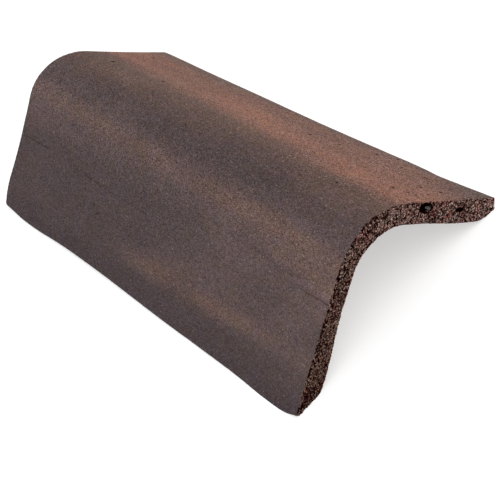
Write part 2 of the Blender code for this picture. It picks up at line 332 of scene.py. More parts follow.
class VergeTileFinish(bpy.types.PropertyGroup):
    """Colours of the pigment on the skin and of the concrete below it, and of the painted shade on the top
    leg's rim and in the recesses.
    """

    slate: FloatVectorProperty(
        name="Slate", description="Dark purple grey that covers most of the skin",
        default=(0.0673, 0.0477, 0.0477), subtype="COLOR", **RGB,
    )
    dusk: FloatVectorProperty(
        name="Dusk", description="Darker run along the foot of the side leg",
        default=(0.0501, 0.0354, 0.0392), subtype="COLOR", **RGB,
    )
    tan: FloatVectorProperty(
        name="Tan", description="Soft tan streaks on the side leg and bend",
        default=(0.2911, 0.1873, 0.1696), subtype="COLOR", **RGB,
    )
    ochre: FloatVectorProperty(
        name="Ochre", description="Yellow brown heart of the tan streaks",
        default=(0.1580, 0.0927, 0.0720), subtype="COLOR", **RGB,
    )
    olive: FloatVectorProperty(
        name="Olive Brown", description="Streak between the slate and the terracotta",
        default=(0.1292, 0.0752, 0.0563), subtype="COLOR", **RGB,
    )
    brick: FloatVectorProperty(
        name="Brick", description="Dull brick red towards the top leg's edge",
        default=(0.1875, 0.0966, 0.0720), subtype="COLOR", **RGB,
    )
    terracotta: FloatVectorProperty(
        name="Terracotta", description="Warm streak along the top leg",
        default=(0.2929, 0.1201, 0.0801), subtype="COLOR", **RGB,
    )
    # Painted shade: a darker grey over the rim beside the top leg's edge, which faces up into the light
    painted_rim_shade: FloatVectorProperty(
        name="Painted Rim Shade", description="Greyer rim beside the top leg's edge",
        default=(0.126, 0.095, 0.081), subtype="COLOR", **RGB,
    )
    pale_sand: FloatVectorProperty(
        name="Pale Sand", description="Single pale grains in the skin",
        default=(0.38, 0.31, 0.275), subtype="COLOR", **RGB,
    )
    bare: FloatVectorProperty(
        name="Bare Concrete", description="Concrete without pigment, on the underside and the leg edges",
        default=(0.1200, 0.0790, 0.0680), subtype="COLOR", **RGB,
    )
    grain: FloatVectorProperty(
        name="Cut Grain", description="Grains on the cut ends",
        default=(0.338, 0.188, 0.148), subtype="COLOR", **RGB,
    )
    red_grain: FloatVectorProperty(
        name="Red Cut Grain", description="Redder patches of grains on the cut ends",
        default=(0.322, 0.134, 0.108), subtype="COLOR", **RGB,
    )
    # This colour is the dark paste between the grains, and also the painted shade in the recesses of the cut
    # ends and in the skin's scratches and pits
    dark_paste_and_shade: FloatVectorProperty(
        name="Crevice", description="Dark paste between the grains of the cut ends",
        default=(0.007, 0.0008, 0.0003), subtype="COLOR", **RGB,
    )
    pebble: FloatVectorProperty(
        name="Pebble", description="Grey stone in the largest void",
        default=(0.130, 0.124, 0.124), subtype="COLOR", **RGB,
    )


class VergeTileStudio(bpy.types.PropertyGroup):
    """Floor, light and camera."""

    floor_colour: FloatVectorProperty(
        name="Floor", description="Colour of the plain floor",
        default=(0.62, 0.62, 0.62), subtype="COLOR", **RGB,
    )
    floor_glow: FloatProperty(
        name="Floor Glow", description="How much the floor shines by itself, as a light table does",
        default=0.48, min=0.0,
    )
    floor_size: FloatProperty(
        name="Floor Size", description="Length of each side of the floor", default=14.0, unit="LENGTH",
    )
    sky: FloatProperty(
        name="Room Light", description="Strength of the even light from all round", default=0.9, min=0.0,
    )
    key: FloatProperty(
        name="Key Light", description="Strength of the broad soft light from above", default=1.0, min=0.0,
    )
    key_turn: FloatVectorProperty(
        name="Key Light Turn", description="How the key light is turned",
        default=(math.radians(28), math.radians(4), 0.0), size=3, subtype="EULER",
    )
    key_softness: FloatProperty(
        name="Key Light Softness", description="How wide the key light looks",
        default=math.radians(60), min=0.0, max=math.radians(170), subtype="ANGLE",
    )
    camera_place: FloatVectorProperty(
        name="Camera Place", description="Where the camera stands",
        default=(-0.24163, -0.72357, 0.61602), size=3, subtype="TRANSLATION",
    )
    camera_turn: FloatVectorProperty(
        name="Camera Turn", description="How the camera is turned",
        default=(math.radians(43.6272), math.radians(23.7086), math.radians(-41.4396)),
        size=3, subtype="EULER",
    )
    lens: FloatProperty(
        name="Lens", description="Focal length on a 36 mm wide sensor", default=86.4, min=10.0,
    )


def deselect_all():
    """Deselects every object."""
    for piece in bpy.context.selected_objects:
        piece.select_set(False)


def make_active(piece):
    """Makes the piece the only selected object, and the active one."""
    deselect_all()
    piece.select_set(True)
    bpy.context.view_layer.objects.active = piece


def apply_modifier(piece, kind, **settings):
    """Adds a modifier to the piece and applies it."""
    make_active(piece)
    modifier = piece.modifiers.new(kind.lower(), kind)
    for name, value in settings.items():
        setattr(modifier, name, value)
    bpy.ops.object.modifier_apply(modifier=modifier.name)


def free_copy(piece, name):
    """A copy of the object with its own mesh."""
    copy = bpy.data.objects.new(name, piece.data.copy())
    bpy.context.scene.collection.objects.link(copy)
    return copy


def join_or_cut(piece, tool, operation):
    """Joins the tool to the piece or cuts it away, and removes the tool."""
    apply_modifier(piece, "BOOLEAN", operation=operation, solver="EXACT", object=tool)
    bpy.data.objects.remove(tool, do_unlink=True)


def rows(collection, field, width):
    """One field of every point or face, as a table."""
    table = np.zeros(len(collection) * width, np.float32)
    collection.foreach_get(field, table)
    return table.reshape(-1, width) if width > 1 else table


def points_of(piece):
    """The place of every point, as a table."""
    return rows(piece.data.vertices, "co", 3)


def faces_of(piece):
    """The middle and the outward direction of every face, as two tables."""
    return rows(piece.data.polygons, "center", 3), rows(piece.data.polygons, "normal", 3)


def move_points(piece, points):
    """Puts every point of the piece at its new place."""
    piece.data.vertices.foreach_set("co", points.astype(np.float32).ravel())


def note(piece, name, values):
    """Stores one value for each point, for the materials to read."""
    layer = piece.data.attributes.get(name) or piece.data.attributes.new(name, "FLOAT", "POINT")
    layer.data.foreach_set("value", values.astype(np.float32))


def unrolled(shape, points):
    """For each point: metres round the skin from the crown, less towards the side leg, and depth below it."""
    x = points[:, 0] - shape.bend_centre_x
    z = points[:, 2] - shape.bend_centre_z
    side, top, radius = shape.side_slope, shape.top_slope, shape.bend_radius
    angle = np.arctan2(x, z)
    on_side, on_top = angle < -side, angle > top
    across = np.where(
        on_side, x * math.cos(side) + z * math.sin(side) - radius * side,
        np.where(on_top, x * math.cos(top) - z * math.sin(top) + radius * top, angle * radius),
    )
    height = np.where(
        on_side, z * math.cos(side) - x * math.sin(side),
        np.where(on_top, z * math.cos(top) + x * math.sin(top), np.hypot(x, z)),
    )
    return across, radius - height


def skin_frame(shape, across):
    """For distances round the skin: the part on the bend, and the downhill and outward directions there."""
    on_bend = np.clip(across, -shape.bend_radius * shape.side_slope, shape.bend_radius * shape.top_slope)
    sine, cosine = np.sin(on_bend / shape.bend_radius), np.cos(on_bend / shape.bend_radius)
    level = np.zeros_like(sine)
    return on_bend, np.stack([cosine, level, -sine], -1), np.stack([sine, level, cosine], -1)


def skin_point(shape, across, along, depth=0.0):
    """The place this far round the skin and from the near end, and the skin's outward direction there."""
    on_bend, downhill, outward = skin_frame(shape, np.float64(across))
    centre = Vector((shape.bend_centre_x, NEAR_END + along, shape.bend_centre_z))
    outward = Vector(outward)
    place = centre + outward * (shape.bend_radius - depth) + Vector(downhill) * float(across - on_bend)
    return place, outward


def edit_faces(piece, chosen, operator, **settings):
    """Runs an edit mode operator on just these faces."""
    make_active(piece)
    mesh = piece.data
    mesh.vertices.foreach_set("select", np.zeros(len(mesh.vertices), bool))
    mesh.edges.foreach_set("select", np.zeros(len(mesh.edges), bool))
    mesh.polygons.foreach_set("select", chosen)
    bpy.context.tool_settings.mesh_select_mode = (False, False, True)
    bpy.ops.object.mode_set(mode="EDIT")
    operator(**settings)
    bpy.ops.object.mode_set(mode="OBJECT")


def make_finer(piece, chosen, cuts):
    """Subdivides just these faces."""
    edit_faces(piece, chosen, bpy.ops.mesh.subdivide, number_cuts=cuts, quadcorner="INNERVERT")


def weigh(piece, name, weights):
    """Gives each point a weight in a named group, in steps fine enough for relief."""
    group = piece.vertex_groups.get(name) or piece.vertex_groups.new(name=name)
    steps = np.rint(np.clip(weights, 0.0, 1.0) * WEIGHT_STEPS).astype(int)
    for step in np.unique(steps):
        group.add(np.flatnonzero(steps == step).tolist(), step / WEIGHT_STEPS, "REPLACE")


def fade(value, near, far):
    """1 where the value is below near, 0 above far, and an even slope between them."""
    return np.clip((far - value) / (far - near), 0.0, 1.0)


def soften(piece, group, weights, iterations, **settings):
    """Smooths the points of a new group."""
    weigh(piece, group, weights)
    apply_modifier(piece, "SMOOTH", factor=0.5, iterations=iterations, vertex_group=group, **settings)


def relief_pattern(name, kind, size, **settings):
    """A cloud or cell pattern for a Displace modifier, with features of this size."""
    pattern = bpy.data.textures.new(name, kind)
    pattern.noise_scale = size
    for setting, value in settings.items():
        setattr(pattern, setting, value)
    return pattern


def displace(piece, pattern, strength, group="", direction="NORMAL", middle=0.5):
    """Pushes the points of a group, or all of them, in or out by a pattern, for good."""
    apply_modifier(
        piece, "DISPLACE", texture=pattern, texture_coords="LOCAL", strength=strength,
        vertex_group=group, direction=direction, mid_level=middle,
    )


def void_filler(shape, void):
    """A block that fills one smooth void of the CAD solid flush with the cut face and the skin."""
    top = max(void.depth - void.height / 2 - FILLER_MARGIN, 0.0)
    low = void.depth + void.height / 2 + FILLER_MARGIN
    inward = void.inward + FILLER_MARGIN
    place, _ = skin_point(shape, void.across, inward / 2, (top + low) / 2)
    deselect_all()
    bpy.ops.mesh.primitive_cube_add(
        size=1.0, location=place, rotation=(0.0, shape.top_slope, 0.0),
        scale=(void.width + 2 * FILLER_MARGIN, inward, low - top),
    )
    bpy.ops.object.transform_apply(location=True, rotation=True, scale=True)
    return bpy.context.active_object


def lumpy_ball(shape, void, along, lump_height):
    """A lumpy ball of a void's size: a tool that tears the void, or a stone that sits in it."""
    place, _ = skin_point(shape, void.across, along, void.depth)
    deselect_all()
    bpy.ops.mesh.primitive_ico_sphere_add(
        subdivisions=4, radius=1.0, location=place, rotation=(0.0, shape.top_slope, 0.0),
        scale=(void.width / 2, void.inward, void.height / 2),
    )
    bpy.ops.object.transform_apply(location=True, rotation=True, scale=True)
    ball = bpy.context.active_object
    displace(ball, relief_pattern("void lumps", "CLOUDS", LUMP_SIZE, noise_depth=2), lump_height)
    return ball


def shape_body(shape):
    """An evenly meshed copy of the CAD solid, with its smooth voids filled."""
    piece = free_copy(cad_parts[TILE_NODE], "verge_tile_concrete")
    make_active(piece)
    bpy.ops.object.mode_set(mode="EDIT")
    bpy.ops.mesh.select_all(action="SELECT")
    bpy.ops.mesh.remove_doubles(threshold=MERGE_DISTANCE)
    bpy.ops.object.mode_set(mode="OBJECT")
    for void in VOIDS:
        join_or_cut(piece, void_filler(shape, void), "UNION")
    guide = free_copy(piece, "guide")
    apply_modifier(
        piece, "REMESH", mode="SHARP", octree_depth=GRID_DEPTH, scale=shape.grid_scale, sharpness=1.0,
        use_remove_disconnected=False,
    )
    apply_modifier(piece, "SHRINKWRAP", target=guide)
    bpy.data.objects.remove(guide, do_unlink=True)
    return piece


def soften_body(piece, shape):
    """Turns the flats of the CAD bend into one even curve, and takes the sharpness off the edges."""
    points = points_of(piece)
    across, depth = unrolled(shape, points)
    off_near = points[:, 1] - NEAR_END > NEAR_KEPT
    from_far = CAD_HIGH.y - points[:, 1]
    on_bend = fade(np.abs(across), *BEND_FADE)
    soften(piece, "bend", on_bend * off_near * (from_far > FAR_KEPT), BEND_PASSES, use_y=False)
    soften(piece, "edges", 0.5 * off_near, EDGE_PASSES)
    far_corner = np.hypot(from_far, points[:, 0] - CAD_LOW.x)
    soften(piece, "worn corner", fade(far_corner, *CORNER_FADE), CORNER_PASSES)
    swell = fade(np.abs(across - SWELL_MIDDLE), *SWELL_FADE_ACROSS) * fade(from_far, *SWELL_FADE_ALONG)
    weigh(piece, "far swell", swell * (depth < SKIN_DEPTH))
    apply_modifier(piece, "DISPLACE", strength=shape.far_swell, mid_level=0.0, vertex_group="far swell")


def cut_faces(piece):
    """Yes or no for each face: on the near cut end, and on the far one."""
    centres, normals = faces_of(piece)
    near = (normals[:, 1] < -END_FACING) & (centres[:, 1] < NEAR_END + NEAR_REACH)
    far = (normals[:, 1] > END_FACING) & (centres[:, 1] > CAD_HIGH.y - FAR_REACH)
    return near, far


def refine_ends(piece, shape):
    """Makes the cut ends, and the skin beside the near one, fine enough for grains and chips."""
    near, _ = cut_faces(piece)
    centres, _ = faces_of(piece)
    across, _ = unrolled(shape, centres)
    rim = centres[:, 1] < NEAR_END + shape.cut_rim
    wide_rim = centres[:, 1] < NEAR_END + 2 * shape.cut_rim
    chipped = (across > CHIPS[0].start) & (across < CHIPS[-1].end) & wide_rim
    make_finer(piece, near | chipped | rim, NEAR_CUTS)
    _, far = cut_faces(piece)
    make_finer(piece, far, FAR_CUTS)


def tear_voids(piece, shape):
    """Tears the voids open in the near cut face, and leaves a stone standing in the largest."""
    for void in VOIDS:
        join_or_cut(piece, lumpy_ball(shape, void, 0.0, VOID_LUMPS), "DIFFERENCE")
    join_or_cut(piece, lumpy_ball(shape, STONE, STONE_SETBACK + STONE.inward, STONE_LUMPS), "UNION")


def point_masks(piece, shape):
    """For each point: on the near cut, on the far cut, in a void, and metres from the near end."""
    points = points_of(piece)
    _, depth = unrolled(shape, points)
    along = points[:, 1] - NEAR_END
    near_faces, far_faces = cut_faces(piece)
    near, far = np.zeros(len(points), bool), np.zeros(len(points), bool)
    for face in piece.data.polygons:
        if near_faces[face.index]:
            near[list(face.vertices)] = True
        elif far_faces[face.index]:
            far[list(face.vertices)] = True
    near &= along < NEAR_FLATNESS
    in_void = (along > VOID_STARTS) & (along < VOID_ENDS) & (depth > VOID_TOP) & (depth < VOID_FOOT)
    return near, far, in_void & (points[:, 0] > 0), along


def roughen(piece, shape):
    """Gives the skin its waves and sand, and the cut ends their torn grains and chipped arrises, and notes
    the painted shade of their recesses.
    """
    near, far, in_void, along = point_masks(piece, shape)
    weigh(piece, "skin", np.where(near | far | in_void, 0.0, fade(-along, -SKIN_RISE, 0.0)))
    displace(piece, relief_pattern("skin waves", "CLOUDS", WAVE_SIZE, noise_depth=1), shape.skin_wave, "skin")
    displace(piece, relief_pattern("skin sand", "CLOUDS", SAND_SIZE, noise_depth=1), shape.skin_sand, "skin")

    across, depth = unrolled(shape, points_of(piece))
    weigh(piece, "near cut", near.astype(float))
    weigh(piece, "far cut", far * (1.0 - FAR_ARRIS_CALM * fade(depth, *FAR_ARRIS_FADE)))
    wear = fade(along, 0.2 * MM, shape.cut_rim) * (0.5 + 0.5 * fade(-across, *SIDE_WEAR_FADE))
    weigh(piece, "near arris", np.where(near | in_void, 0.0, wear))
    grains = relief_pattern(
        "cut grains", "VORONOI", shape.grain_size,
        distance_metric="DISTANCE", weight_1=1.0, noise_intensity=1.0,
    )
    tears = relief_pattern("cut tears", "CLOUDS", TEAR_SIZE, noise_depth=3)
    chips = relief_pattern("arris chips", "CLOUDS", CHIP_SIZE, noise_depth=2)
    flat = points_of(piece)[:, 1]
    for group, inward in ENDS:
        displace(piece, grains, inward * shape.grain_height, group, "Y", GRAIN_MIDDLE)
    press_cut_pits(piece, shape, near)
    grained = points_of(piece)[:, 1]
    for group, inward in ENDS:
        displace(piece, tears, inward * shape.tear_height, group, "Y", TEAR_MIDDLE)
    displace(piece, chips, shape.arris_wear, "near arris", middle=WEAR_MIDDLE)
    torn = points_of(piece)[:, 1]

    # Painted shade: the deeper a point of a cut end is sunk, and the deeper it lies in a void, the darker it
    # is painted; the stone and the chips get painted shade too
    sunk = (grained - flat + TEAR_SHADE_SHARE * (torn - grained)) * np.where(far, -1.0, 1.0)
    shade_more_where_ragged(piece, shape, near, sunk)
    recess_shade = np.where(near | far, np.clip(0.4 + sunk / shape.grain_height, 0.0, 1.0), 0.0)
    recess_shade = np.where(in_void, np.clip(0.5 + along / (2.0 * MM), 0.0, 1.0), recess_shade)
    pebble = in_void & on_stone(piece, shape)
    recess_shade = np.where(pebble, STONE_SHADE, recess_shade)
    recess_shade = np.maximum(recess_shade, chip_arris(piece, shape, flat - NEAR_END))
    note(piece, RECESS_SHADE, recess_shade)
    note(piece, PEBBLE, pebble)


def shade_more_where_ragged(piece, shape, near, sunk):
    """Makes the painted shade more uneven beside the outer arris of the side leg and the bend, by adding to
    the depths it is read from.
    """
    across, depth = unrolled(shape, points_of(piece))
    for index in np.flatnonzero(near & (across < RAGGED_ACROSS) & (depth < RAGGED_DEPTH)):
        lump = noise.noise(Vector((across[index], depth[index], 0.0)) * RAGGED_SCALE)
        sunk[index] += RAGGED_LUMPS * lump * min((RAGGED_DEPTH - depth[index]) / RAGGED_FADE, 1.0)


def chip_arris(piece, shape, along):
    """Breaks the chips off the near cut's outer arris, and returns the painted shade of each point there."""
    points = points_of(piece)
    across, depth = unrolled(shape, points)
    reach = np.zeros(len(points))
    for chip in CHIPS:
        share = np.clip((across - chip.start) / (chip.end - chip.start), 0.0, 1.0)
        reach = np.maximum(reach, chip.reach * np.minimum(CHIP_RAMP * np.minimum(share, 1.0 - share), 1.0))
    recess_shade = np.zeros(len(points))
    for index in np.flatnonzero((reach > 0.0) & (along < CHIP_LIMIT) & (depth < CHIP_LIMIT)):
        place = Vector(points[index])
        reach[index] *= 0.9 + 0.7 * noise.noise(place * CHIP_SCALE)
        recess_shade[index] = 0.54 + 0.5 * noise.noise(place * CHIP_TONE_SCALE)
    short = np.clip(reach - np.maximum(along, 0.0) - depth / CHIP_SLOPE, 0.0, None)
    _, _, outward = skin_frame(shape, across)
    points[:, 1] += 0.5 * short
    points -= outward * (0.5 * CHIP_SLOPE * short)[:, None]
    move_points(piece, points)
    return np.where(short > 0.0, np.clip(recess_shade, 0.05, 1.0), 0.0)


def on_stone(piece, shape):
    """Yes or no for each point: on the front of the stone in the largest void."""
    points = points_of(piece)
    place, _ = skin_point(shape, STONE.across, STONE_SETBACK + STONE.inward, STONE.depth)
    size = (STONE.width / 2, STONE.inward, STONE.width / 2)
    close = np.linalg.norm((points - np.array(place)) / size, axis=1) < 1.3
    return close & (points[:, 1] - NEAR_END < STONE_SETBACK + 0.6 * STONE.inward)


def press_cut_pits(piece, shape, near):
    """Presses the small pits into the near cut face."""
    points = points_of(piece)
    across, depth = unrolled(shape, points)
    for pit in CUT_PITS:
        far_out = np.hypot((across - pit.across) / (pit.width / 2), (depth - pit.depth) / (pit.height / 2))
        points[:, 1] += np.where(near, pit.inward * np.clip(1.0 - far_out ** 3, 0.0, 1.0), 0.0)
    move_points(piece, points)


def press_marks(piece, shape):
    """Presses the scratches and the small pits into the skin, and notes the dirt and painted shade that sit
    in them.
    """
    for score in SCORES:
        slice_along(piece, shape, score)
    for pit in PITS:
        place, _ = skin_point(shape, pit.across, pit.along)
        centres, _ = faces_of(piece)
        beside = np.linalg.norm(centres - np.array(place), axis=1) < pit.radius + PIT_MARGIN
        make_finer(piece, beside, PIT_CUTS)

    points = points_of(piece)
    across, depth = unrolled(shape, points)
    flat = np.stack([across, points[:, 1] - NEAR_END], 1)
    # The darkening of each scratch and pit grows with its depth: dirt and painted shade
    sunk, dirt_and_shade = np.zeros(len(points)), np.zeros(len(points))
    for score in SCORES:
        start, end = np.array((score.start_across, score.start)), np.array((score.end_across, score.end))
        run = end - start
        share = np.clip((flat - start) @ run / (run @ run), 0.0, 1.0)
        aside = np.linalg.norm(flat - start - share[:, None] * run, axis=1)
        ramp = np.minimum(SCORE_RAMP * np.minimum(share, 1 - share), 1.0)
        line = fade(aside, 0.05 * score.width, 0.5 * score.width) * ramp
        sunk = np.maximum(sunk, score.depth * line)
        dirt_and_shade = np.maximum(dirt_and_shade, line * score.depth / SCORE_FULL_DIRT_AND_SHADE)
    for pit in PITS:
        aside = np.linalg.norm(flat - (pit.across, pit.along), axis=1)
        for index in np.flatnonzero(aside < 2 * pit.radius):
            aside[index] /= 1.0 + 0.45 * noise.noise(Vector(points[index]) * PIT_SCALE)
        bowl = np.clip(1.0 - (aside / pit.radius) ** 2, 0.0, 1.0)
        sunk = np.maximum(sunk, pit.depth * bowl)
        dirt_and_shade = np.maximum(dirt_and_shade, np.minimum(PIT_DIRT_AND_SHADE * bowl, 1.0))
    on_skin = depth < MARK_DEPTH
    _, _, outward = skin_frame(shape, across)
    points -= outward * (sunk * on_skin)[:, None]
    points[:, 2] = np.maximum(points[:, 2], 0.0)
    move_points(piece, points)
    note(piece, DIRT_AND_SHADE, dirt_and_shade * on_skin)


def slice_along(piece, shape, score):
    """Slices the faces of the skin along both sides and the middle of a scratch."""
    start, outward = skin_point(shape, score.start_across, score.start)
    end, _ = skin_point(shape, score.end_across, score.end)
    aside = (end - start).cross(outward).normalized()
    low, high = sorted((score.start, score.end))
    for shift in (0.5 * score.width, -0.5 * score.width, 0.0):
        centres, normals = faces_of(piece)
        along = centres[:, 1] - NEAR_END
        near_line = np.abs((centres - np.array(start)) @ np.array(aside)) < SLICE_REACH
        chosen = near_line & (along > low) & (along < high) & (normals @ np.array(outward) > SLICE_FACING)
        edit_faces(piece, chosen, bpy.ops.mesh.bisect, plane_co=start + aside * shift, plane_no=aside)


def lay_out_skin(piece, shape):
    """Unrolls the tile into a map in metres, and notes how much pigment each point carries."""
    mesh = piece.data
    points = points_of(piece)
    across, depth = unrolled(shape, points)
    corners = rows(mesh.loops, "vertex_index", 1).astype(int)
    flat = np.stack([across, points[:, 1] - NEAR_END], 1)[corners].astype(np.float32)
    for layer in list(mesh.uv_layers):
        mesh.uv_layers.remove(layer)
    mesh.uv_layers.new(name=UNROLLED).data.foreach_set("uv", flat.ravel())
    note(piece, COAT, fade(depth, *BARE_BELOW))


def paint_faces(piece, materials):
    """Puts the cut concrete on the ends and in the voids, and the skin on the rest."""
    mesh = piece.data
    mesh.materials.clear()
    for material in materials:
        mesh.materials.append(material)
    near, far = cut_faces(piece)
    recess_shade = rows(mesh.attributes[RECESS_SHADE].data, "value", 1)
    deep = np.array([min(recess_shade[list(face.vertices)]) > 0.0 for face in mesh.polygons])
    slots = np.where(near | far | deep, CUT_SLOT, SKIN_SLOT)
    mesh.polygons.foreach_set("material_index", slots.astype(np.int32))


class NodeSheet:
    """Adds nodes to a material or a node group, in tidy columns, and links them."""

    COLUMN, ROW, ROWS = 200, -230, 6

    def __init__(self, tree):
        self.tree = tree
        self.count = 0

    def add(self, kind, inputs=None, family="ShaderNode", **settings):
        """A new node with its settings, and its inputs set or linked."""
        node = self.tree.nodes.new(family + kind)
        node.location = (self.COLUMN * (self.count // self.ROWS), self.ROW * (self.count % self.ROWS))
        self.count += 1
        for name, value in settings.items():
            setattr(node, name, value)
        for socket, value in (inputs or {}).items():
            self.feed(node.inputs[socket], value)
        return node

    def feed(self, socket, value):
        """Links the socket to another one, or sets its value."""
        if isinstance(value, bpy.types.NodeSocket):
            self.tree.links.new(value, socket)
        else:
            socket.default_value = value

    def math(self, operation, first, second=0.0, third=0.0):
        """The result of a Math node."""
        return self.add("Math", {0: first, 1: second, 2: third}, operation=operation).outputs[0]

    def times(self, first, *others):
        """The product of several values."""
        for other in others:
            first = self.math("MULTIPLY", first, other)
        return first

    def between(self, value, low, high, start=0.0, finish=1.0, smooth=True):
        """The value remapped from low..high to start..finish."""
        kind = "SMOOTHSTEP" if smooth else "LINEAR"
        inputs = {"Value": value, "From Min": low, "From Max": high, "To Min": start, "To Max": finish}
        return self.add("MapRange", inputs, interpolation_type=kind).outputs[0]

    def blend(self, factor, first, second, kind="MIX"):
        """Two colours mixed."""
        return self.add("Mix", {0: factor, 6: first, 7: second}, data_type="RGBA", blend_type=kind).outputs[2]

    def tinted(self, colour, red, green, blue):
        """The colour multiplied by a shade for each of its channels."""
        shades = self.add("CombineColor", {0: red, 1: green, 2: blue}).outputs[0]
        return self.blend(1.0, colour, shades, "MULTIPLY")

    def channels(self, colour):
        """The red, green and blue of a colour."""
        return self.add("SeparateColor", {"Color": colour}).outputs

    def vector(self, operation, first, second):
        """The result of a Vector Math node."""
        return self.add("VectorMath", {0: first, 1: second}, operation=operation).outputs[0]

    def noise(self, place, scale, detail=2.0, roughness=0.5):
        """The value of a Noise texture."""
        inputs = {"Vector": place, "Scale": scale, "Detail": detail, "Roughness": roughness}
        return self.add("TexNoise", inputs).outputs["Fac"]

    def cells(self, place, scale, **settings):
        """The results of a Voronoi texture."""
        return self.add("TexVoronoi", {"Vector": place, "Scale": scale}, **settings).outputs

    def noted(self, name):
        """A value that is stored for each point of the mesh."""
        return self.add("Attribute", attribute_name=name).outputs["Fac"]

    def group(self, name, **inputs):
        """The results of a node group, its inputs given by name with an underscore for each space."""
        node = self.add("Group", node_tree=bpy.data.node_groups[name])
        for socket, value in inputs.items():
            self.feed(node.inputs[socket.replace("_", " ")], value)
        return node.outputs


def new_group(name, inputs, results):
    """An empty node group. Its results are numbers, and so is each input that has a default."""
    tree = bpy.data.node_groups.new(name, "ShaderNodeTree")
    for socket, default in inputs.items():
        kind = "NodeSocketVector" if default is None else "NodeSocketFloat"
        made = tree.interface.new_socket(name=socket, in_out="INPUT", socket_type=kind)
        if default is not None:
            made.default_value = default
    for socket in results:
        tree.interface.new_socket(name=socket, in_out="OUTPUT", socket_type="NodeSocketFloat")
    sheet = NodeSheet(tree)
    given = sheet.add("GroupInput", family="Node").outputs
    return sheet, given, sheet.add("GroupOutput", family="Node").inputs


def make_sand_grain():
    """Fine sand: a shade to multiply a colour by, and a height for bump."""
    sheet, given, result = new_group(
        "Sand Grain", {"Place": None, "Size": 1 * MM, "Contrast": 0.2}, ("Shade", "Height"),
    )
    scale = sheet.math("DIVIDE", 1.0, given["Size"])
    cells = sheet.cells(given["Place"], scale)
    tone = sheet.channels(cells["Color"])[0]
    clouds = sheet.noise(given["Place"], sheet.times(scale, 0.8), 3.0, 0.7)
    soft = sheet.between(clouds, 0.3, 0.7, smooth=False)
    mixed = sheet.math("MULTIPLY_ADD", tone, 0.5, sheet.times(soft, 0.5))
    centred = sheet.math("MULTIPLY_ADD", mixed, 2.0, -1.0)
    shade = sheet.math("MULTIPLY_ADD", centred, given["Contrast"], 1.0)
    sheet.feed(result["Shade"], sheet.math("MAXIMUM", shade, 0.12))
    domes = sheet.math("SUBTRACT", 1.0, cells["Distance"])
    sheet.feed(result["Height"], sheet.times(sheet.math("ADD", domes, soft), 0.5))


def make_scattered_spots():
    """Single grains or pinholes: a mask of small spots, in a share of the cells."""
    sheet, given, result = new_group(
        "Scattered Spots", {"Place": None, "Spacing": 2 * MM, "Spot": 0.3, "Share": 0.2}, ("Mask",),
    )
    cells = sheet.cells(given["Place"], sheet.math("DIVIDE", 1.0, given["Spacing"]))
    pick = sheet.channels(cells["Color"])
    chosen = sheet.math("LESS_THAN", pick[0], given["Share"])
    size = sheet.times(given["Spot"], sheet.math("ADD", 0.5, pick[1]))
    inside = sheet.between(cells["Distance"], sheet.times(size, 0.5), size, 1.0, 0.0)
    sheet.feed(result["Mask"], sheet.times(inside, chosen))


def make_torn_stones():
    """Ragged little stones with dark gaps: a shade to multiply a colour by, and a mask of gaps."""
    sheet, given, result = new_group("Torn Stones", {"Place": None, "Size": 1.3 * MM}, ("Shade", "Gap"))
    scale = sheet.math("DIVIDE", 1.0, given["Size"])
    swirl = sheet.add("TexNoise", {"Vector": given["Place"], "Scale": scale, "Detail": 1.0})
    centred = sheet.vector("SUBTRACT", swirl.outputs["Color"], (0.5, 0.5, 0.5))
    reach = sheet.times(given["Size"], 1.1)
    bent = sheet.add("VectorMath", {0: centred, "Scale": reach}, operation="SCALE").outputs[0]
    place = sheet.vector("ADD", given["Place"], bent)
    pick = sheet.channels(sheet.cells(place, scale)["Color"])
    edges = sheet.cells(place, scale, feature="DISTANCE_TO_EDGE")
    tone = sheet.math("POWER", pick[0], 1.3)
    sheet.feed(result["Shade"], sheet.between(tone, 0.0, 1.0, 0.68, 1.85, smooth=False))
    seam = sheet.between(edges["Distance"], 0.03, 0.23, 1.0, 0.0)
    lost = sheet.between(pick[1], 0.1, 0.16, 0.95, 0.0)
    sheet.feed(result["Gap"], sheet.math("MAXIMUM", seam, lost))


def make_soft_mottle():
    """Soft patches drawn out along the tile: a shade to multiply a colour by."""
    sheet, given, result = new_group(
        "Soft Mottle", {"Place": None, "Patch": 20 * MM, "Stretch": 3.0, "Contrast": 0.1}, ("Shade",),
    )
    along = sheet.math("DIVIDE", 1.0, given["Stretch"])
    squeeze = sheet.add("CombineXYZ", {0: 1.0, 1: along, 2: 1.0}).outputs[0]
    drawn = sheet.vector("MULTIPLY", given["Place"], squeeze)
    patches = sheet.noise(drawn, sheet.math("DIVIDE", 1.0, given["Patch"]))
    centred = sheet.between(patches, 0.3, 0.7, -1.0, 1.0, smooth=False)
    sheet.feed(result["Shade"], sheet.math("MULTIPLY_ADD", centred, given["Contrast"], 1.0))


